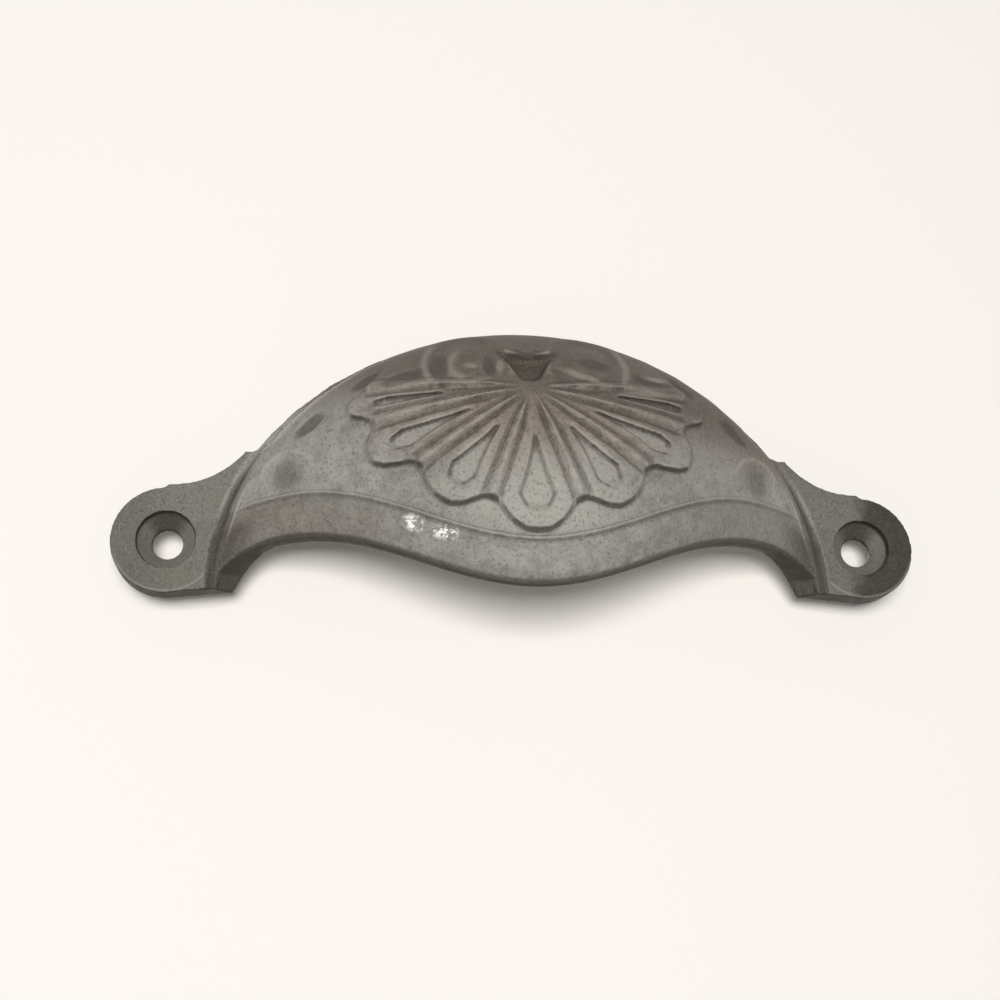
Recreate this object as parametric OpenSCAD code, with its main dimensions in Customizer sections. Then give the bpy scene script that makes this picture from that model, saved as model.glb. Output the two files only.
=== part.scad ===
// Cup pull for a drawer, one iron casting with a fluted shell on its face.
// X runs along the pull, Z is up and -Y points out of the drawer front.
// The origin is midway between the two screw holes, on the back face.

/* [Ears] */
// Distance between the two screw holes
hole_spacing = 122; // [121:0.5:124]
// Diameter of each screw hole
hole_d = 5.2; // [4:0.1:5.6]
// Diameter of the round recess for each screw head
recess_d = 10; // [9:0.1:11]
// Thickness of each ear
ear_t = 4.5; // [4:0.1:5]
// Depth of the straight side of each recess
recess_t = 1.2; // [0.8:0.1:1.6]
// Depth of each recess at the screw hole
recess_floor = 3.4; // [3:0.1:3.6]
// Radius of the round end of each ear
ear_r = 9.3; // [9:0.1:9.6]

/* [Cup] */
// Width of the cup where it meets the ears
cup_w = 108.6; // [107:0.2:110]
// Height of the cup above its feet
cup_h = 48.2; // [46:0.2:50]
// Distance of the cup's feet below the screw holes
foot_drop = 8.2; // [7.8:0.1:8.6]
// Distance that the middle of the lip stands out of the drawer
lip_out = 24; // [22:0.5:27]
// Thickness of the cup's wall
wall = 3.8; // [3.2:0.1:4.4]
// Width of the flat border round the cup
border_w = 1.3; // [1:0.1:1.8]
// Thickness of the flat border round the cup
border_t = 2.5; // [2:0.1:3]

/* [Shell] */
// Height of the shell's hub above the screw holes
hub_z = 23; // [22:0.2:24]
// Height of the shell over the cup's face
shell_h = 1.2; // [0.6:0.1:1.6]
// Height of the ribs over the shell
rib_h = 0.6; // [0.2:0.1:0.8]
// Width of the ribs
rib_w = 1.1; // [0.8:0.1:1.4]
// Depth of the sunken panel in each lobe
panel_d = 0.8; // [0.2:0.1:1]

/* [Hidden] */
$fn = 64;

// Half sizes of the cup's outline, of the inside edge of its border and of its hollow
out_a = cup_w / 2;
out_b = cup_h;
edge_a = out_a - border_w;
edge_b = out_b - border_w;
in_a = out_a - wall - 0.9;
in_b = out_b - wall;
foot_z = -foot_drop;

// Roundness of the cup from the lip to the top, and fall of the face towards the ears
section_power = 2.3;
face_power = 1.1;
hollow_power = 1.1;

// The lip is a wave with this half length, then it falls to the feet. The crest over it
// ends on the border at this angle of the arch
wave_x = 40;
crest_mid_z = foot_z + 3.5;
crest_side_z = foot_z + 14.2;
crest_end = 16;
face_a = edge_a * cos(crest_end) + 0.6;
lip_mid_z = foot_z - 3.2;
lip_side_z = foot_z + 7.4;
lip_round = 0.8;
lip_fall = 0.6;
band_bulge = 0.5;

// Angles from straight down: middle of each lobe and the rib that ends it
lobe_mid = [0, 36.5, 65, 84.5];
lobe_rib = [20, 53, 77, 92];
// Distances from the hub: tip of each lobe and end of each rib
lobe_tip = [26.5, 26, 30, 31];
rib_tip = [22.2, 24.2, 27.3, 28];
// Each lobe ends in a round tip, which falls to a shoulder at this share of its half width
lobe_shoulder = 0.9;
lobe_power = 1.5;
// Flank of a rib, bottom of the groove beside it and start of the field, in half widths of
// the rib from its middle, and the largest share of the lobe that each may take
rib_steps = [0.9, 1.8, 2.8];
rib_limits = [0.22, 0.4, 0.6];
rib_groove = 0.45;
rib_flank = 0.1;
// Sunken panel: its apex, its widest place and its tip along the lobe, and its width there
panel_at = [0.36, 0.78, 0.9];
panel_w = 0.6;
panel_wall = 0.1;
// The rib that runs on to the foot of the cup, and the columns of points over the top
foot_angle = lobe_rib[2];
top_steps = 18;
top_tip = 11;

// The ears' shoulders: end of the round, cusp against the cup, and sag between them
shoulder_x = hole_spacing / 2 - 0.1;
shoulder_z = ear_r + 0.6;
cusp_x = out_a - 6;
cusp_z = foot_z + 24;
sag_power = 2.3;
// Each ear is cut from a blank that leaves the cup between the foot and this angle of the arch
blank_end = 30;
blank_angle = lobe_rib[3];
blank_top = foot_z + out_b * sin(blank_end) + 0.1;
blank = [[out_a - 0.2, foot_z - 8], [out_a + 30, foot_z - 8], [out_a + 30, blank_top],
    [out_a * cos(blank_end) + 0.3, blank_top]];

// The hollow's points step off its edge on to a shelf, this far above the lip at its middle
// and at its side, which ends at this height
shelf_up = 2;
shelf_up_side = 6;
shelf_end_z = 0.9 * (foot_z + in_b * sin(blank_end)) + 0.1 * hub_z;

// Carving over the shell, as [x, z] on the right half: a keystone that widens from the hub
// to its top, a scroll with its boss and rim, a round eye by the ear, and three leaves
key_foot = [1.5, 24];
key_top = [4.8, 30];
key_d = 1.8;
brow_z = 31;
brow_h = 0.5;
volute_at = [10.6, 28.4];
volute_r = 7.6;
volute_rim = 0.4;
volute_dip = 0.6;
boss_r = 3.6;
boss_h = 0.5;
eye_at = [40.5, 10];
eye_r = 3.2;
eye_d = 0.6;
leaf_at = [[21.5, 25.4], [27.5, 26.4], [37.2, 18.7]];
leaf_size = [3.2, 1.3];
leaf_turn = [-20, -35, -42];
leaf_d = 0.6;

// Rings of points: along the lobes, on to the edge of the face, over the lip, and inside
lobe_rings = [0.1, 0.18, 0.26, 0.34, 0.4, 0.48, 0.56, 0.64, 0.72, 0.78, 0.84, 0.89, 0.94, 0.985];
face_rings = [0, 0.09, 0.18, 0.28, 0.38, 0.48, 0.58, 0.68, 0.78, 0.88, 1];
bead_w = 0.8;
bead_h = 0.4;
bead_groove = 0.1;
band_rings = [0, 0.12, 0.3, 0.55, 0.8, 1];
turn_rings = [45, 90, 135, 180];
hollow_rings = [0.45, 1, 1.2, 1.45, 1.7, 1.88];

function mix(a, b, t) = a + (b - a) * t;
function ramp(t) = max(0, min(1, t));
function smooth(t) = ramp(t) * ramp(t) * (3 - 2 * ramp(t));

// A wave from the middle of the pull to its side, then a fall to the foot
function wave(x, mid, side, end, power) =
    abs(x) < wave_x
        ? mix(mid, side, (1 - cos(180 * x / wave_x)) / 2)
        : mix(side, end[1], pow(ramp((abs(x) - wave_x) / (end[0] - wave_x)), power));
function crest_z(x) =
    wave(x, crest_mid_z, crest_side_z, [edge_a * cos(crest_end), foot_z + edge_b * sin(crest_end)], 2);
function lip_z(x) = wave(x, lip_mid_z, lip_side_z, [out_a, foot_z], 2.4);

// Height of an ellipse over x, and the depth of the face and of the hollow at x, z
function arch_z(x, a, b) = foot_z + b * sqrt(max(0, 1 - pow(x / a, 2)));
function crest_out(x) = ear_t + (lip_out - ear_t) * pow(max(0, 1 - pow(x / face_a, 2)), face_power);
function hollow_out(x) = (lip_out - wall) * pow(max(0, 1 - pow(x / in_a, 2)), hollow_power);
function section(x, z, a, b) =
    let (q = ramp((z - crest_z(x)) / max(0.4, arch_z(x, a, b) - crest_z(x))))
    pow(max(0, 1 - pow(q, section_power)), 1 / section_power);
function border_out(z) = mix(ear_t + 0.2, border_t, smooth((z - cusp_z + 0.5) / 3));
function face_depth(x, z) = mix(border_out(z), crest_out(x), section(x, z, edge_a, edge_b));
function hollow_depth(x, z) = hollow_out(x) * section(x, z, in_a, in_b);

// Columns of points on the right half: [lobe, slot], with slot 0 down the middle of a lobe
// and slot 7 along its rib, and then [-1, angle] over the top
half_columns = concat(
    [for (s = [0:7]) [0, s]],
    [for (k = [1:3]) for (s = [-6:7]) [k, s]],
    [for (i = [1:top_steps]) [-1, mix(lobe_rib[3], 180, i / top_steps)]]);
half_count = len(half_columns);
columns = concat(
    [for (i = [0:half_count - 1]) [1, half_columns[i]]],
    [for (i = [half_count - 2:-1:1]) [-1, half_columns[i]]]);
count = len(columns);

// Width of the sunken panel along a lobe, as a share of its greatest width. Beyond its tip
// the slots spread out again, for the round end of the lobe
function panel(f) =
    f < panel_at[0] ? 0.2 :
    f < panel_at[1] ? mix(0.2, 1, (f - panel_at[0]) / (panel_at[1] - panel_at[0])) :
    f < panel_at[2] ? mix(1, 0.3, (f - panel_at[1]) / (panel_at[2] - panel_at[1])) : 0.4;

// Where a slot lies between the middle of its lobe and its rib, which widens as it runs out
function lobe_half(c) = c[1] < 0 ? lobe_mid[c[0]] - lobe_rib[c[0] - 1] : lobe_rib[c[0]] - lobe_mid[c[0]];
function slot_share(c, f) =
    let (s = abs(c[1]),
         room = f * rib_tip[c[0]] * lobe_half(c) * PI / 180,
         side = rib_w / 2 * mix(0.7, 1.5, f) / room,
         from_rib = [for (i = [0:2]) 1 - min(rib_limits[i], rib_steps[i] * side)],
         inside = panel_w * panel(f),
         outside = inside + panel_wall)
    s == 0 ? 0 :
    s == 1 ? from_rib[2] * inside :
    s == 2 ? from_rib[2] * outside :
    s == 3 ? from_rib[2] * (outside + 1) / 2 :
    s == 7 ? 1 : from_rib[6 - s];
function angle(c, f) =
    c[0] < 0 ? c[1] : lobe_mid[c[0]] + sign(c[1]) * lobe_half(c) * slot_share(c, f);

// Length of the shell along a column
function bump(t) = 1 - smooth(pow(t / lobe_shoulder, lobe_power));
function reach(c) =
    c[0] < 0
        ? top_tip + (rib_tip[3] - top_tip) * pow((180 - c[1]) / (180 - lobe_rib[3]), 1.5)
        : let (end = c[1] < 0 ? rib_tip[c[0] - 1] : rib_tip[c[0]])
          mix(end, lobe_tip[c[0]], bump(slot_share(c, 1)));

// Height of the carving over the face at a share f of the way along a column
function carving(c, f) =
    let (s = abs(c[1]),
         body = shell_h * smooth(0.35 + f * 0.8),
         grow = smooth(f / 0.3),
         sunk = f > panel_at[0] && f < panel_at[2] - 0.02)
    c[0] < 0 ? body * smooth(1 - (c[1] - lobe_rib[3]) / 20) :
    s <= 1 && sunk ? body - panel_d :
    s <= 4 ? body :
    s == 5 ? body - rib_groove * grow :
    s == 6 ? body + rib_flank * grow : body + rib_h * grow;

// Scrolls and leaves beside and above the hub, for x on the right half
function blob(x, z, at, size, turn) =
    let (dx = x - at[0], dz = z - at[1])
    smooth(1.5 - norm([(dx * cos(turn) + dz * sin(turn)) / size[0],
                       (dz * cos(turn) - dx * sin(turn)) / size[1]]));
function ring(d, r, w) = smooth(1 - abs(d - r) / w);
function keystone(x, z) =
    let (side = mix(key_foot[0], key_top[0], ramp((z - key_foot[1]) / (key_top[1] - key_foot[1]))))
    smooth((side - x) / 1.1) * smooth((z - key_foot[1]) / 1.2) * smooth((key_top[1] + 0.8 - z) / 2.2);
function volute(r) =
    boss_h * smooth((boss_r + 1 - r) / 1.6) - volute_dip * ring(r, (boss_r + volute_r) / 2, 1.8)
        + volute_rim * ring(r, volute_r, 1.4);
function scrolls(x, z) =
    let (key = keystone(x, z))
    (1 - key) * volute(norm([x, z] - volute_at)) * smooth((z - hub_z - 1.2) / 1.2)
        - key_d * key
        + brow_h * ring(z, brow_z, 1.3) * smooth((key_top[0] + 1 - x) / 1.5)
        - eye_d * smooth(1.5 - norm([x, z] - eye_at) / eye_r)
        - leaf_d * max([for (i = [0:2]) blob(x, z, leaf_at[i], leaf_size, leaf_turn[i])]);

// Places across the face, as [x, z]
function polar(r, a) = [r * sin(a), hub_z - r * cos(a)];
function spread(a, share, power) =
    let (t = a / foot_angle)
    share * t + (1 - share) * pow(t, power);
function arch_turn(a, w, h) =
    let (up = hub_z - foot_z,
         over = pow(sin(a) / w, 2) + pow(cos(a) / h, 2),
         half = up * cos(a) / (h * h),
         far = (half + sqrt(half * half - over * (pow(up / h, 2) - 1))) / over)
    atan2((up - far * cos(a)) / h, far * sin(a) / w);
function arch_point(a, w, h, start) =
    let (turn = a < blank_angle
        ? mix(start, blank_end + start / 5, (a - foot_angle) / (blank_angle - foot_angle))
        : mix(blank_end + start / 5, arch_turn(a, w, h), smooth((a - blank_angle) / 30)))
    [w * cos(turn), foot_z + h * sin(turn)];
function blank_point(a) =
    let (t = 3 * (a - foot_angle) / (blank_angle - foot_angle), i = min(2, floor(t)))
    mix(blank[i], blank[i + 1], t - i);
function on_lip(a) = a < foot_angle;
function on_ear(a) = !on_lip(a) && a <= blank_angle;
function crest_point(a) =
    on_lip(a)
        ? let (x = edge_a * cos(crest_end) * spread(a, 0.75, 6)) [x, crest_z(x)]
        : arch_point(a, edge_a, edge_b, crest_end);
function front_point(a) =
    on_lip(a)
        ? let (x = out_a * spread(a, 0.78, 5)) [x, lip_z(x)]
        : arch_point(a, out_a, out_b, 0);
function back_point(a) =
    on_lip(a)
        ? let (x = in_a * spread(a, 0.8, 5)) [x, wave(x, lip_mid_z, lip_side_z, [in_a, foot_z], 2.4)]
        : arch_point(a, in_a, in_b, 0);

// Bead along the crest, then the rise and fall of the band to the edge of the lip
function band_relief(a, t) =
    smooth((foot_angle - a) / 6) *
    (t == 0 ? bead_h
        : t < 0.2 ? -bead_groove
        : band_bulge * sin(180 * ramp((t - 0.1) / 0.9)) - lip_fall * t * t);
function front_depth(a) =
    on_lip(a) ? face_depth(front_point(a)[0], front_point(a)[1]) + band_relief(a, 1)
    : on_ear(a) ? ear_t : border_t;
function back_depth(a) =
    on_lip(a) ? hollow_depth(back_point(a)[0], back_point(a)[1]) : 0;

// Points as [x, z, depth]
function lobe_ring(c, f) =
    let (p = polar(reach(c) * f, angle(c, f)))
    [p[0], p[1], face_depth(p[0], p[1]) + carving(c, f) + scrolls(p[0], p[1])];
function face_ring(c, t) =
    let (a = angle(c, 1),
         start = polar(reach(c) + 0.35, a),
         end = crest_point(a),
         p = mix(start, end, t * (1 - min(0.5, bead_w / norm(end - start)))))
    [p[0], p[1], face_depth(p[0], p[1]) + scrolls(p[0], p[1])];
function band_ring(c, t) =
    let (a = angle(c, 1),
         p = mix(crest_point(a), front_point(a), t))
    [p[0], p[1], on_lip(a)
        ? face_depth(p[0], p[1]) + band_relief(a, t)
        : mix(border_out(p[1]), front_depth(a), t)];
function turn_ring(c, turn) =
    let (a = angle(c, 1),
         f = front_point(a),
         b = back_point(a),
         t = (1 - cos(turn)) / 2,
         drop = lip_round * sin(turn) * smooth((foot_angle - a) / 12),
         side = on_ear(a) ? blank_point(a) : f)
    on_lip(a)
        ? [mix(f[0], b[0], t), mix(f[1], b[1], t) - drop, mix(front_depth(a), back_depth(a), t)]
        : turn < 90 ? [side[0], side[1], on_ear(a) ? ear_t : border_t / 2]
        : let (p = mix(side, b, (turn - 90) / 90)) [p[0], p[1], 0];
function shelf_z(x) =
    wave(min(x, wave_x), lip_mid_z, lip_side_z, [in_a, foot_z], 1)
        + mix(shelf_up, shelf_up_side, pow(x / in_a, 2));
function shelf_point(a) =
    let (b = back_point(a),
         p = mix(b, [0, hub_z], 0.1))
    on_lip(a) ? [p[0], shelf_z(b[0])]
    : on_ear(a)
        ? [p[0], mix(shelf_z(in_a), shelf_end_z, pow((a - foot_angle) / (blank_angle - foot_angle), 1.6))]
        : p;
function hollow_ring(c, t) =
    let (a = angle(c, 1),
         p = t <= 1 ? mix(back_point(a), shelf_point(a), t) : mix(shelf_point(a), [0, hub_z], t - 1))
    [p[0], p[1], hollow_depth(p[0], p[1])];

function place(side, p) = [side * p[0], -p[2], p[1]];
cup_rings = concat(
    [for (f = lobe_rings) [for (c = columns) place(c[0], lobe_ring(c[1], f))]],
    [for (t = face_rings) [for (c = columns) place(c[0], face_ring(c[1], t))]],
    [for (t = band_rings) [for (c = columns) place(c[0], band_ring(c[1], t))]],
    [for (t = turn_rings) [for (c = columns) place(c[0], turn_ring(c[1], t))]],
    [for (t = hollow_rings) [for (c = columns) place(c[0], hollow_ring(c[1], t))]]);
ring_count = len(cup_rings);
cup_points = concat(
    [for (ring = cup_rings) for (p = ring) p],
    [[0, -face_depth(0, hub_z) - shell_h * smooth(0.35), hub_z],
     [0, -hollow_depth(0, hub_z), hub_z]]);
function at(ring, column) = ring * count + column % count;

// Each four-sided patch is split towards the outer side of its lobe
function slot_of(column) = abs(columns[column % count][1][1]);
function patch(r, i) =
    slot_of(i) < slot_of(i + 1)
        ? [[at(r, i), at(r, i + 1), at(r + 1, i + 1)], [at(r, i), at(r + 1, i + 1), at(r + 1, i)]]
        : [[at(r, i), at(r, i + 1), at(r + 1, i)], [at(r, i + 1), at(r + 1, i + 1), at(r + 1, i)]];
cup_faces = concat(
    [for (r = [0:ring_count - 2]) for (i = [0:count - 1]) for (corner = patch(r, i)) corner],
    [for (i = [0:count - 1]) [ring_count * count, at(0, i + 1), at(0, i)]],
    [for (i = [0:count - 1]) [ring_count * count + 1, at(ring_count - 1, i), at(ring_count - 1, i + 1)]]);

module cup() {
    polyhedron(points = cup_points, faces = cup_faces, convexity = 8);
}

// Outline to which the blank on the right is cut, open towards the cup
module ear_outline() {
    steps = 10;
    translate([hole_spacing / 2, 0]) circle(r = ear_r);
    polygon(concat(
        [[0, foot_z - 0.1],
         [out_a - 4, foot_z - 0.1],
         [hole_spacing / 2, -ear_r],
         [hole_spacing / 2 + 0.5, ear_r - 0.02],
         [shoulder_x, shoulder_z]],
        [for (i = [1:steps])
            [mix(shoulder_x, cusp_x, i / steps),
             mix(shoulder_z, cusp_z - 0.1, pow(i / steps, sag_power))]],
        [[cusp_x, cusp_z + 40], [0, cusp_z + 40]]));
}

module ear_trim() {
    rotate([90, 0, 0]) translate([0, 0, -1]) linear_extrude(height = ear_t + 2)
    difference() {
        translate([out_a - 12, foot_z - 20]) square([60, 70]);
        ear_outline();
    }
}

// Recess for a flat screw head, with the hole through its floor
module screw_seat() {
    translate([hole_spacing / 2, 0, 0]) rotate([90, 0, 0]) {
        translate([0, 0, -1]) cylinder(h = ear_t + 2, d = hole_d);
        translate([0, 0, ear_t - recess_t]) cylinder(h = recess_t + 1, d = recess_d);
        translate([0, 0, ear_t - recess_floor])
        cylinder(h = recess_floor - recess_t, d1 = hole_d, d2 = recess_d - 0.4);
    }
}

module pull_casting() {
    color([0.46, 0.44, 0.41])
    difference() {
        cup();
        for (side = [0, 1]) mirror([side, 0, 0]) {
            ear_trim();
            screw_seat();
        }
    }
}

pull_casting();
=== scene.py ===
import math
import bpy
from mathutils import Matrix, Vector


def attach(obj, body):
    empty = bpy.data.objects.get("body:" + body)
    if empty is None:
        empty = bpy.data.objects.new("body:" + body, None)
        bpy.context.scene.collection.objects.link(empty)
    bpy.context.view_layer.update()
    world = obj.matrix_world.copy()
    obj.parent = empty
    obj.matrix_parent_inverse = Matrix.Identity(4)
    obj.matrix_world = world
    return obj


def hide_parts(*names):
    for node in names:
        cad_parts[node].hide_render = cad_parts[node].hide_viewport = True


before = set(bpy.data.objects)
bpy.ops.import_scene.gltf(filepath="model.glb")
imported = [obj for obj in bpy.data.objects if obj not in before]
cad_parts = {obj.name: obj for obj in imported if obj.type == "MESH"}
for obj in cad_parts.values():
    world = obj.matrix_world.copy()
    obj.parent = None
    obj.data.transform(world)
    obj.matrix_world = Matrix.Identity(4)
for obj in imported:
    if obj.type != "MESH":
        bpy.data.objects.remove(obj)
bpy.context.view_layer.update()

# Places on the pull are in millimetres, as x along it and z up, from midway between its holes
MM = 0.001
HOLE_AT = (61.0, 0.0)
HUB = (0.0, 23.0)

# The cup's outline is an ellipse. In its sizes the outline is at 1, and the valley is inside it
CUP_FOOT = (0.0, -8.2)
CUP_SIZE = (54.3, 48.2)

# The camera stands a little to the left of the pull and below it, and looks up at it
CAMERA_AZIMUTH = math.radians(6.69)
CAMERA_ELEVATION = math.radians(17.74)
CAMERA_ROLL = math.radians(-1.13)
CAMERA_DISTANCE = 265.3 * MM
CAMERA_TARGET = Vector((-3.30, 0.0, 9.32)) * MM
CAMERA_LENS = 53.5

# The crest between the face and the lip: how far its wave reaches to each side, its middle
# height, half the wave's height, and how steeply it falls beyond the wave
CREST_REACH = 40.0
CREST_MIDDLE = 0.65
CREST_WAVE = 5.35
CREST_FALL = 0.0106

# Each rib's angle from straight down, and its length
RIBS = ((20, 22.2), (53, 24.2), (77, 27.3), (92, 28.0))
# Each sunken panel's angle from straight down, how far its middle is from the hub, and its size
PANELS = ((0, 18.0, (5.2, 2.4)), (36.5, 17.6, (5.0, 2.1)), (65, 20.2, (5.4, 1.5)))
# Each leaf's place, size and turn, and where its edge starts and ends
LEAVES = (
    ((21.5, 25.4), (3.8, 1.5), -20, 1.2, 0.7),
    ((27.5, 26.4), (3.0, 1.1), -35, 1.3, 0.6),
    ((37.2, 18.7), (3.0, 1.2), -42, 1.3, 0.7))
EYE = (41.0, 9.8)
# The keystone's foot, half its width there, and how fast that grows
KEY_FOOT = 24.0
KEY_HALF = 2.0
KEY_SPREAD = 0.55

# The sizes of the iron's noises, as scale, detail and roughness
CLOUD = (0.09, 4.0, 0.6)
PATCH = (0.35, 5.0, 0.65)
GRAIN = (1.6, 6.0, 0.7)
GRIT = (5.0, 4.0, 0.7)
PITS = (2.3, 3.0, 0.5)
SCRATCHES = (1.8, 2.0, 0.5)
GLINT_BREAKUP = (0.75, 5.0, 0.75)

# The casting is rebuilt from cubes of this size and smoothed, and keeps this share of its faces
SAND = 0.25 * MM
SMOOTHINGS = 4
FACES_KEPT = 0.34

# The wall stands this far behind the pull's back
WALL_GAP = 5.5 * MM

# The light that the world casts, and how bright it looks
WORLD_CAST = 0.22
WORLD_SEEN = 1.0
LAMP_SHADE = (1.0, 0.98, 0.95)
WORLD_SHADE = (1.0, 0.99, 0.97, 1.0)


class Field:
    """A socket of a material's nodes that can be worked with like a number."""

    def __init__(self, nodes, socket):
        self.nodes = nodes
        self.socket = socket

    def output(self, name):
        """Another output of the same node."""
        return Field(self.nodes, self.socket.node.outputs[name])

    def math(self, operation, *others):
        settings = {"operation": operation}
        values = dict(enumerate((self,) + others))
        return self.nodes.add("ShaderNodeMath", settings, values)

    def __add__(self, other):
        return self.math("ADD", other)

    def __mul__(self, other):
        return self.math("MULTIPLY", other)

    def __sub__(self, other):
        return self.math("SUBTRACT", other)

    def __rsub__(self, other):
        return self.nodes.add("ShaderNodeMath", {"operation": "SUBTRACT"}, {0: other, 1: self})

    def __truediv__(self, other):
        return self.math("DIVIDE", other)

    def __rtruediv__(self, other):
        return self.nodes.add("ShaderNodeMath", {"operation": "DIVIDE"}, {0: other, 1: self})

    __radd__ = __add__
    __rmul__ = __mul__

    def size(self):
        """How far this is from 0."""
        return self.math("ABSOLUTE")

    def ridge(self, middle, width):
        """Is 1 where this equals middle, and falls to 0 at width on both sides of it."""
        return (self - middle).size().ramp(width, 0.0)

    def ramp(self, low, high, start=0.0, end=1.0):
        """Runs smoothly from start, where this is low, to end, where it is high."""
        return self.nodes.add(
            "ShaderNodeMapRange", {"interpolation_type": "SMOOTHSTEP"},
            {"Value": self, "From Min": low, "From Max": high, "To Min": start, "To Max": end})


class Nodes:
    """The nodes of one material or world, which start empty."""

    def __init__(self, tree):
        self.tree = tree
        self.tree.nodes.clear()

    def add(self, kind, settings=None, values=None, output=0):
        """Adds a node, sets its settings and then its sockets, and gives one of its outputs."""
        node = self.tree.nodes.new(kind)
        for key, value in (settings or {}).items():
            setattr(node, key, value)
        for key, value in (values or {}).items():
            if isinstance(value, Field):
                self.tree.links.new(value.socket, node.inputs[key])
            else:
                node.inputs[key].default_value = value
        return Field(self, node.outputs[output]) if len(node.outputs) else None

    def noise(self, place, scale, detail, roughness):
        return self.add("ShaderNodeTexNoise", {}, {
            "Vector": place, "Scale": scale, "Detail": detail, "Roughness": roughness})

    def blend(self, factor, a, b):
        """Goes from colour a to colour b as factor goes from 0 to 1."""
        return self.add("ShaderNodeMix", {"data_type": "RGBA"}, {0: factor, 6: a, 7: b}, 2)

    def seen(self):
        """Is 1 for what the camera sees, also in reflections and through glass, and 0 for light."""
        path = self.add("ShaderNodeLightPath")
        return highest([path.output(name) for name in (
            "Is Camera Ray", "Is Glossy Ray", "Is Transmission Ray")])


def colour(red, green, blue):
    """A colour as its screen values, from 0 to 255, made linear for a socket."""
    def linear(value):
        share = value / 255
        return share / 12.92 if share <= 0.04045 else ((share + 0.055) / 1.055) ** 2.4
    return (linear(red), linear(green), linear(blue), 1.0)


def new_material(name):
    """A new material and its nodes."""
    material = bpy.data.materials.new(name)
    material.use_nodes = True
    return material, Nodes(material.node_tree)


def highest(fields):
    """The greatest of several fields."""
    top = fields[0]
    for field in fields[1:]:
        top = top.math("MAXIMUM", field)
    return top


def make_camera():
    """Sets up the camera where the photograph was taken."""
    ahead = Vector((
        math.sin(CAMERA_AZIMUTH) * math.cos(CAMERA_ELEVATION),
        math.cos(CAMERA_AZIMUTH) * math.cos(CAMERA_ELEVATION),
        math.sin(CAMERA_ELEVATION)))
    level = Vector((math.cos(CAMERA_AZIMUTH), -math.sin(CAMERA_AZIMUTH), 0.0))
    upright = level.cross(ahead)
    right = math.cos(CAMERA_ROLL) * level + math.sin(CAMERA_ROLL) * upright
    up = math.cos(CAMERA_ROLL) * upright - math.sin(CAMERA_ROLL) * level
    turned = Matrix((right, up, -ahead)).transposed().to_4x4()
    camera = bpy.data.objects.new("camera", bpy.data.cameras.new("camera"))
    bpy.context.scene.collection.objects.link(camera)
    camera.matrix_world = Matrix.Translation(CAMERA_TARGET - ahead * CAMERA_DISTANCE) @ turned
    camera.data.lens = CAMERA_LENS
    camera.data.clip_start = 0.01
    bpy.context.scene.camera = camera


def away(x, z, place, size=(1.0, 1.0), turn=0.0):
    """How far x, z is from a place, in sizes of an ellipse that is turned by turn degrees."""
    east = x - place[0]
    north = z - place[1]
    cos = math.cos(math.radians(turn))
    sin = math.sin(math.radians(turn))
    along = (east * cos + north * sin) / size[0]
    across = (north * cos - east * sin) / size[1]
    return (along * along + across * across).math("SQRT")


def arc(x, z, place, radius, middle, spread):
    """A soft line round a place, over spread degrees to both sides of its middle direction."""
    east = (x - place[0]) * (math.cos(math.radians(middle)) / radius)
    north = (z - place[1]) * (math.sin(math.radians(middle)) / radius)
    ends = (east + north).ramp(math.cos(math.radians(spread)), math.cos(math.radians(spread * 0.5)))
    return away(x, z, place).ridge(radius, 1.2) * ends


def stroke(x, z, place, length, turn):
    """A soft and nearly straight line, half a length to both sides of its place."""
    return away(x, z, place, (length / 2, 0.9), turn).ramp(1.1, 0.3)


def scrolls(x, z):
    """The worn scrolls over the shell: their light lines, which get painted highlights, and the
    dark hollows inside them, which get painted shade.
    """
    lines = [
        arc(x, z, (-10.2, 28.0), 7.7, 180, 55),
        arc(x, z, (-10.0, 27.8), 3.5, 190, 85),
        stroke(x, z, (-10.0, 27.5), 3.4, 0),
        stroke(x, z, (-10.6, 23.6), 11.0, 17),
        stroke(x, z, (-4.9, 27.6), 4.6, 80),
        arc(x, z, (9.8, 28.6), 7.5, 0, 50),
        stroke(x, z, (9.8, 25.3), 13.0, -27),
        stroke(x, z, (20.5, 22.9), 13.0, 4),
        stroke(x, z, (22.8, 26.8), 6.0, -3)]
    hollows = [
        away(x, z, (-15.3, 27.4), (1.5, 3.4)).ramp(1.2, 0.5),
        away(x, z, (-6.8, 27.6), (1.1, 2.2)).ramp(1.2, 0.5),
        away(x, z, (11.6, 28.6), (3.6, 1.5), -14).ramp(1.2, 0.5)]
    return highest(lines), highest(hollows)


def fine_carving(x, z):
    """The rims and the hollows of the fine carving round the shell, both from 0 to 1."""
    side = x.size()
    rim = away(x, z, CUP_FOOT, CUP_SIZE)
    scroll_lines, scroll_hollows = scrolls(x, z)
    inner_edge = rim.ridge(0.945, 0.012) * z.ramp(14.0, 18.0)
    crescent = away(side, z, EYE).ridge(4.3, 0.8) * z.ramp(9.5, 12.0)
    ear_ridge = rim.ridge(0.95, 0.008) * z.ramp(-1.0, 2.0) * z.ramp(10.0, 5.5)
    rims = highest([scroll_lines, inner_edge, crescent, ear_ridge])

    leaves = [away(side, z, place, size, turn).ramp(start, end)
              for place, size, turn, start, end in LEAVES]
    eye = away(side, z, EYE, (2.4, 3.0)).ramp(1.4, 0.4)
    ear_groove = rim.ridge(0.98, 0.016) * z.ramp(15.0, 10.0)
    hollows = highest([scroll_hollows * 0.9, eye * 0.8, ear_groove] + leaves)
    return rims, hollows


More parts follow.
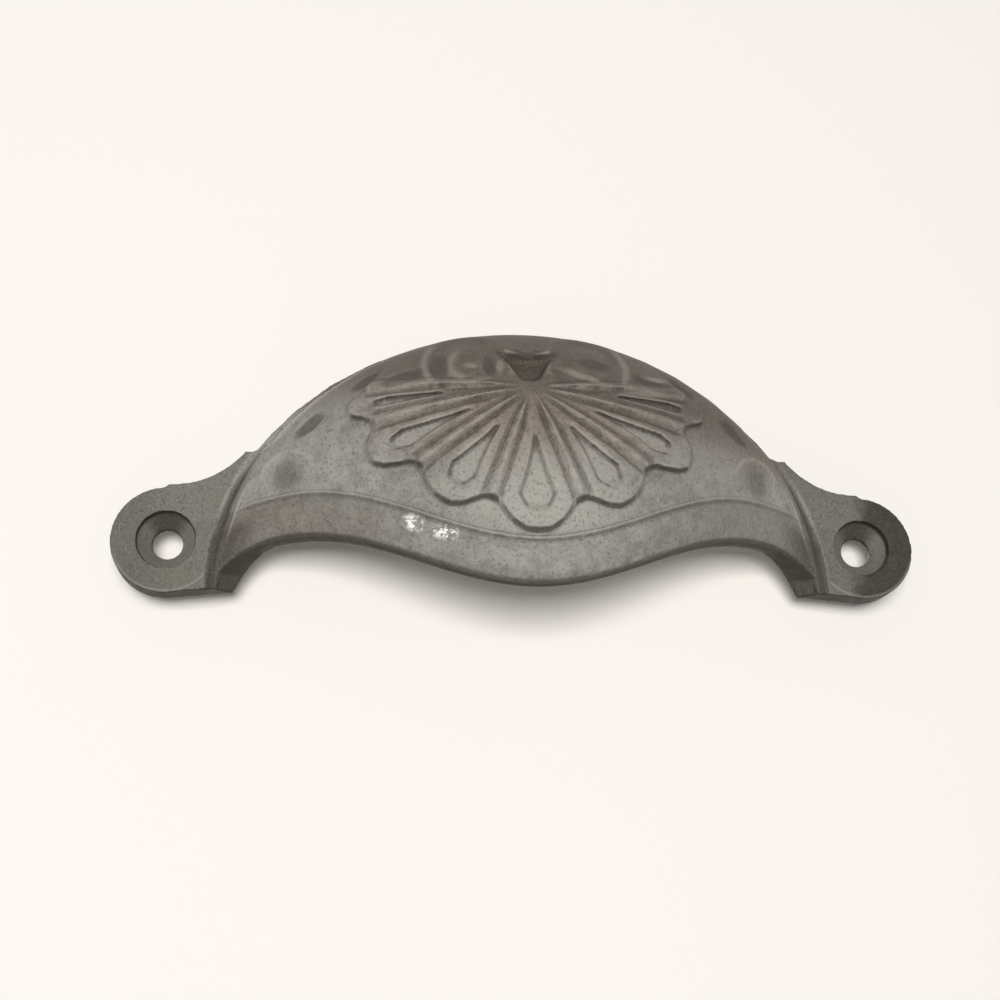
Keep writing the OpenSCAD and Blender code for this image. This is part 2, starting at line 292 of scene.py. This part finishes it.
def rib_lines(side, z):
    """The tops of the shell's ribs and the grooves along both sides of them, from 0 to 1."""
    up = z - HUB[1]
    tops = []
    grooves = []
    for angle, reach in RIBS:
        sin = math.sin(math.radians(angle))
        cos = math.cos(math.radians(angle))
        along = side * sin - up * cos
        across = (side * cos + up * sin).size()
        groove_at = (along * 0.032 + 0.7).math("MINIMUM", along * 0.12)
        ends = along.ramp(1.5, 5.0) * along.ramp(reach + 0.2, reach - 0.8)
        tops.append((across / groove_at).ramp(0.95, 0.35) * ends)
        grooves.append((across - groove_at).ridge(0.15, 0.55) * ends)
    return highest(tops), highest(grooves)


def above_crest(side, z):
    """How far z is above the wavy crest between the face and the band of the lip."""
    wave = (side.math("MINIMUM", CREST_REACH) * (math.pi / CREST_REACH)).math("COSINE")
    beyond = (side - CREST_REACH).math("MAXIMUM", 0.0)
    return z - (CREST_MIDDLE - wave * CREST_WAVE) + beyond * beyond * CREST_FALL


def panel_floors(side, z):
    """The floors of the shell's sunken panels, as 1 inside them and 0 outside."""
    floors = []
    for turn, reach, size in PANELS:
        angle = math.radians(turn)
        middle = (reach * math.sin(angle), HUB[1] - reach * math.cos(angle))
        floors.append(away(side, z, middle, size, turn - 90).ramp(1.2, 0.8))
    return highest(floors)


class Iron:
    """The places and the noises that all of the iron's tones share."""

    def __init__(self, nodes):
        self.nodes = nodes
        self.place = nodes.add("ShaderNodeVectorMath", {"operation": "SCALE"}, {
            0: nodes.add("ShaderNodeTexCoord", output="Object"), "Scale": 1 / MM})
        place = nodes.add("ShaderNodeSeparateXYZ", {}, {0: self.place})
        self.x, self.z = place.output("X"), place.output("Z")
        self.side = self.x.size()
        normal = nodes.add("ShaderNodeSeparateXYZ", {}, {
            0: nodes.add("ShaderNodeTexCoord", output="Normal")})
        self.back, self.rising = normal.output("Y"), normal.output("Z")
        self.front = self.back.ramp(0.0, -0.2)

        self.cloud = nodes.noise(self.place, *CLOUD)
        self.patch = nodes.noise(self.place, *PATCH)
        self.grain = nodes.noise(self.place, *GRAIN)
        self.grit = nodes.noise(self.place, *GRIT)
        self.pits = nodes.noise(self.place, *PITS).ramp(0.36, 0.3)
        # Convex edges are above 0.5 in this attribute, and grooves are below it
        self.bend = nodes.add("ShaderNodeAttribute", {"attribute_name": "grooves"}, output=2)

        self.over_crest = above_crest(self.side, self.z)
        self.rim = away(self.x, self.z, CUP_FOOT, CUP_SIZE)
        from_hole = away(self.side, self.z, HOLE_AT)
        self.in_recess = from_hole.ramp(5.1, 4.6)
        self.on_ears = self.rim.ramp(0.998, 1.008)
        # A painted highlight along the ear's lower front edge
        self.ear_edge = from_hole.ridge(9.0, 0.35) * self.z.ramp(-1.0, -5.0) \
            * self.front * self.on_ears
        self.on_feet = self.side.ramp(43.0, 51.0) * self.rim.ramp(1.004, 0.996) \
            * self.over_crest.ramp(-0.5, -4.5)
        # The top of the cup: brown iron, with painted shade where it turns away from the light
        self.over_hub = (self.z + self.x * 0.15 + (self.patch - 0.5) * 8.0).ramp(14.0, 27.0)
        self.keystone = ((self.z - KEY_FOOT) * KEY_SPREAD + KEY_HALF - self.side).ramp(0.0, 0.8) \
            * self.z.ramp(KEY_FOOT - 0.2, KEY_FOOT + 0.8) * self.z.ramp(32.0, 30.5)

    def blend(self, factor, tone, other):
        return self.nodes.blend(factor, tone, colour(*other))


def carved_lines(iron):
    """The rims, the hollows and the thin dark lines of all the carving, from 0 to 1. The rims get
    painted highlights, and the hollows and lines get painted shade.
    """
    wobble = (iron.patch - 0.5) * 0.9
    rims, hollows = fine_carving(iron.x + wobble, iron.z + wobble)
    rib_tops, rib_grooves = rib_lines((iron.x + wobble).size(), iron.z)
    on_crest = iron.side.ramp(51.0, 47.0) * iron.front
    crest_top = iron.over_crest.ridge(0.1, 0.5) * on_crest
    crest_groove = iron.over_crest.ridge(-0.6, 0.5) * on_crest
    rims = highest([rims, rib_tops * iron.patch.ramp(0.3, 0.6) * 0.9, crest_top * 0.9])
    lines = highest([rib_grooves, crest_groove * 0.8])
    return rims * iron.front, hollows * iron.front, lines * iron.front


def cup_tone(iron):
    """Grey iron, paler at the middle of the shell and brown over its top and on the lip's ends,
    with painted shade over the top and in the sunken keystone.
    """
    nodes, x, z, cloud, patch = iron.nodes, iron.x, iron.z, iron.cloud, iron.patch
    low_fan = away(x, z, (1.0, 4.0), (17.0, 13.0)).ramp(1.2, 0.3)
    tone = nodes.blend(patch.ramp(0.3, 0.7), colour(124, 122, 115), colour(160, 159, 153))
    tone = iron.blend(cloud.ramp(0.42, 0.62) * 0.2, tone, (116, 112, 104))
    tone = iron.blend(iron.side.ramp(18.0, 38.0) * 0.35, tone, (168, 165, 158))
    tone = iron.blend(low_fan * 0.75, tone, (174, 172, 165))

    round_hub = (away(x, z, HUB) + (cloud - 0.5) * 12.0 + (patch - 0.5) * 10.0).ramp(34.0, 16.0)
    brown_fan = round_hub * (z + (patch - 0.5) * 12.0).ramp(2.0, 16.0)
    lip_brown = x.ramp(-18.0, -34.0) * iron.over_crest.ramp(0.5, -1.5) * cloud.ramp(0.35, 0.55)
    brown = nodes.blend(patch.ramp(0.35, 0.65), colour(112, 101, 93), colour(150, 138, 129))
    tone = nodes.blend(
        highest([brown_fan * 0.9, iron.over_hub * 0.95, lip_brown * 0.5]), tone, brown)
    # Painted shade: the top of the cup, which turns away from the light, is painted darker
    tone = iron.blend(iron.over_hub * 0.68, tone, (74, 66, 58))

    lip_ends = iron.over_crest.ramp(0.2, -1.0) * iron.side.ramp(14.0, 34.0)
    panels = panel_floors(iron.side, z) * iron.front * (1 - iron.over_hub)
    tone = iron.blend(lip_ends * 0.35, tone, (92, 88, 80))
    tone = iron.blend(panels * 0.6, tone, (164, 162, 155))
    # Painted shade in the sunken keystone at the top of the cup
    return iron.blend(iron.keystone * iron.front * 0.95, tone, (72, 64, 55))


def ears_on(iron, tone):
    """Adds the darker ears, painted shade in the valley between them and the cup and on the feet,
    and the recesses.
    """
    side, z, rim = iron.side, iron.z, iron.rim
    far_out = highest([side.ramp(58.0, 67.0), iron.x.ramp(40.0, 58.0) * 0.6])
    valley = rim.ramp(1.008, 0.98) * rim.ramp(0.945, 0.97) * z.ramp(18.0, 6.0)
    # Painted shade in the valley between the ears and the cup and on the feet, whose walls turn to
    # the side and down
    low = highest([valley * 0.6, iron.on_feet * 0.8]) * iron.front
    tone = iron.blend(iron.on_ears * 0.8, tone, (106, 104, 96))
    tone = iron.blend(iron.on_ears * far_out * 0.4, tone, (76, 73, 65))
    tone = iron.blend(low, tone, (58, 54, 46))
    return iron.blend(iron.in_recess * 0.6, tone, (128, 126, 118))


def grain_on(iron, tone):
    """Adds dark grain, bright grit and dark pits."""
    tone = iron.blend(iron.grain.ramp(0.5, 0.7) * 0.55, tone, (70, 66, 59))
    tone = iron.blend(iron.grit.ramp(0.56, 0.68) * 0.45, tone, (190, 187, 181))
    return iron.blend(iron.pits * iron.patch.ramp(0.5, 0.7) * 0.4, tone, (60, 56, 50))


def dark_ear_end_on(iron, tone):
    """Adds the dark, scratched end of the right ear."""
    turned = iron.nodes.add("ShaderNodeMapping", {}, {
        "Vector": iron.place, "Rotation": (0.0, math.radians(38), 0.0), "Scale": (0.5, 1.0, 3.0)})
    scratches = iron.nodes.noise(turned, *SCRATCHES).ramp(0.58, 0.66)
    dark_end = (iron.x - iron.z * 0.15 + (iron.patch - 0.5) * 4.0).ramp(58.0, 62.5)
    # Darker towards the end of the right ear, broken up by scratches
    darkened_end = dark_end * (1 - iron.in_recess) * (1 - scratches * 0.3)
    return iron.blend(darkened_end * 0.92, tone, (46, 42, 35))


def side_and_under_shade_on(iron, tone):
    """Adds painted shade on the faces that are turned to the side or down."""
    not_back = 1 - iron.back.ramp(0.2, 0.7)
    # Painted shade on faces turned to the side, and darker painted shade on faces turned down;
    # faces turned back are left out
    tone = iron.blend(iron.back.ramp(-0.5, -0.2) * not_back * 0.85, tone, (56, 52, 45))
    return iron.blend(iron.rising.ramp(-0.3, -0.7) * not_back * 0.7, tone, (38, 35, 29))


def edges_on(iron, tone, rims, hollows, lines):
    """Adds painted shade in grooves, hollows and carved lines, and painted highlights on edges and
    rims, where the shape or the carving has them.
    """
    sunk = iron.bend.ramp(0.492, 0.472) * (1 - iron.in_recess * 0.8) * (1 - iron.keystone * 0.6)
    raised = iron.bend.ramp(0.508, 0.535) * (1 - iron.rim.ramp(0.98, 0.99)) * (1 - iron.on_feet)
    # Painted shade in grooves, hollows and carved lines
    dark = highest([sunk * 0.65, hollows * 0.6, lines * 0.5])
    # Painted highlights on convex edges, carved rims and the ear's lower front edge
    light = highest([raised * 0.4, rims * 0.34, iron.ear_edge * 0.3])
    tone = iron.blend(dark, tone, (56, 51, 44))
    return iron.blend(light, tone, (178, 171, 162))


def painted_glint_spots(iron):
    """The two bright spots on the lip, painted glints, from 0 to 1."""
    spots = highest([
        away(iron.x, iron.z, (-19.9, -1.5), (1.8, 1.3), -40).ramp(1.4, 0.4),
        away(iron.x, iron.z, (-15.0, -3.4), (2.2, 1.2), -10).ramp(1.4, 0.4)])
    return spots * iron.front * iron.nodes.noise(iron.place, *GLINT_BREAKUP).ramp(0.48, 0.54)


def raw_iron():
    """Raw grey cast iron: grainy and pitted, brown in the carving, with painted shade in its
    grooves and painted highlights on its edges.
    """
    material, nodes = new_material("raw_iron")
    iron = Iron(nodes)
    rims, hollows, lines = carved_lines(iron)
    glints = painted_glint_spots(iron)

    tone = ears_on(iron, cup_tone(iron))
    tone = dark_ear_end_on(iron, grain_on(iron, tone))
    tone = edges_on(iron, side_and_under_shade_on(iron, tone), rims, hollows, lines)
    # Painted glints: two white spots on the lip, which are also made smoother
    tone = iron.blend(glints, tone, (250, 249, 245))

    rough = iron.patch.ramp(0.3, 0.7, 0.48, 0.64) + iron.grit * 0.08 - glints * 0.3
    grain = (iron.grain - 0.5) * 0.2 + (iron.grit - 0.5) * 0.06 + (iron.patch - 0.5) * 0.3
    # The faces that are turned to the side are smoother
    grain = grain * iron.back.size().ramp(0.1, 0.5, 0.35, 1.0)
    height = grain - iron.pits * 0.1 + rims * 0.2 - hollows * 0.35 - lines * 0.12
    bump = nodes.add("ShaderNodeBump", {}, {"Strength": 1.0, "Distance": MM, "Height": height})
    shader = nodes.add("ShaderNodeBsdfPrincipled", {}, {
        "Base Color": tone, "Roughness": rough, "Metallic": 0.12, "Specular IOR Level": 0.35,
        "Normal": bump})
    nodes.add("ShaderNodeOutputMaterial", {}, {"Surface": shader})
    return material


def select_only(piece):
    bpy.ops.object.select_all(action="DESELECT")
    piece.select_set(True)
    bpy.context.view_layer.objects.active = piece


def merge_doubles():
    """Joins the loose triangles of the selected piece."""
    bpy.ops.object.mode_set(mode="EDIT")
    bpy.ops.mesh.select_all(action="SELECT")
    bpy.ops.mesh.remove_doubles(threshold=0.000001)
    bpy.ops.object.mode_set(mode="OBJECT")


def soften_edges(piece):
    """Gives the piece the soft edges that sand leaves, and keeps its flat faces flat."""
    remesh = piece.modifiers.new("sand", "REMESH")
    remesh.mode = "VOXEL"
    remesh.voxel_size = SAND
    soften = piece.modifiers.new("soften", "SMOOTH")
    soften.factor = 0.5
    soften.iterations = SMOOTHINGS
    thin = piece.modifiers.new("thin", "DECIMATE")
    thin.ratio = FACES_KEPT
    bpy.ops.object.shade_smooth()
    flats = piece.modifiers.new("flats", "WEIGHTED_NORMAL")
    flats.weight = 100
    for modifier in list(piece.modifiers):
        bpy.ops.object.modifier_apply(modifier=modifier.name)


def cast_pull():
    """The casting, made from the frame's own solid."""
    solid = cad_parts["pull_casting"]
    piece = bpy.data.objects.new("cast_pull", solid.data.copy())
    bpy.context.scene.collection.objects.link(piece)
    select_only(piece)
    merge_doubles()
    soften_edges(piece)
    # How convex or sunken each place is; the iron turns this into painted highlights on edges and
    # painted shade in grooves
    bpy.ops.geometry.color_attribute_add(
        name="grooves", color=(1.0, 1.0, 1.0, 1.0), domain="CORNER", data_type="FLOAT_COLOR")
    bpy.ops.paint.vertex_color_dirt(
        blur_strength=1.0, blur_iterations=3, clean_angle=math.radians(180),
        dirt_angle=0.0, dirt_only=False, normalize=False)
    piece.data.materials.clear()
    piece.data.materials.append(raw_iron())
    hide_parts("pull_casting")
    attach(piece, "root")


def make_wall():
    """The pale surface behind the pull. From behind it isn't seen, and light passes it."""
    bpy.ops.mesh.primitive_plane_add(
        size=4.0, location=(0.0, WALL_GAP, 0.0), rotation=(math.radians(90), 0.0, 0.0))
    wall = bpy.context.active_object
    wall.name = "wall"
    wall.visible_shadow = False
    material, nodes = new_material("pale_wall")
    paint = nodes.add("ShaderNodeBsdfPrincipled", {}, {
        "Base Color": nodes.blend(nodes.seen(), colour(110, 108, 104), colour(250, 247, 243)),
        "Roughness": 0.8})
    clear = nodes.add("ShaderNodeBsdfTransparent")
    from_behind = nodes.add("ShaderNodeNewGeometry", output="Backfacing")
    nodes.add("ShaderNodeOutputMaterial", {}, {
        "Surface": nodes.add("ShaderNodeMixShader", {}, {0: from_behind, 1: paint, 2: clear})})
    wall.data.materials.append(material)


def add_light(name, place, size, energy):
    """Adds a soft light of a size, as its width and height, that shines at the pull."""
    light = bpy.data.lights.new(name, "AREA")
    light.shape = "RECTANGLE"
    light.size, light.size_y = size
    light.energy = energy
    light.color = LAMP_SHADE
    lamp = bpy.data.objects.new(name, light)
    bpy.context.scene.collection.objects.link(lamp)
    lamp.location = place
    towards = Vector((0.0, 0.0, 0.01)) - Vector(place)
    lamp.rotation_euler = towards.to_track_quat("-Z", "Y").to_euler()


def light_studio():
    """A soft key light in front, a light behind for views of the back, and a pale world."""
    world = bpy.data.worlds.new("studio")
    bpy.context.scene.world = world
    world.use_nodes = True
    nodes = Nodes(world.node_tree)
    background = nodes.add("ShaderNodeBackground", {}, {
        "Color": WORLD_SHADE, "Strength": nodes.seen().ramp(0.0, 1.0, WORLD_CAST, WORLD_SEEN)})
    nodes.add("ShaderNodeOutputWorld", {}, {"Surface": background})
    add_light("key", (-0.12, -1.1, -0.06), (0.46, 0.36), 10.1)
    add_light("back", (-0.4, 1.0, 0.45), (0.6, 0.4), 10.0)
    bpy.context.scene.view_settings.view_transform = "Standard"


make_camera()
cast_pull()
make_wall()
light_studio()
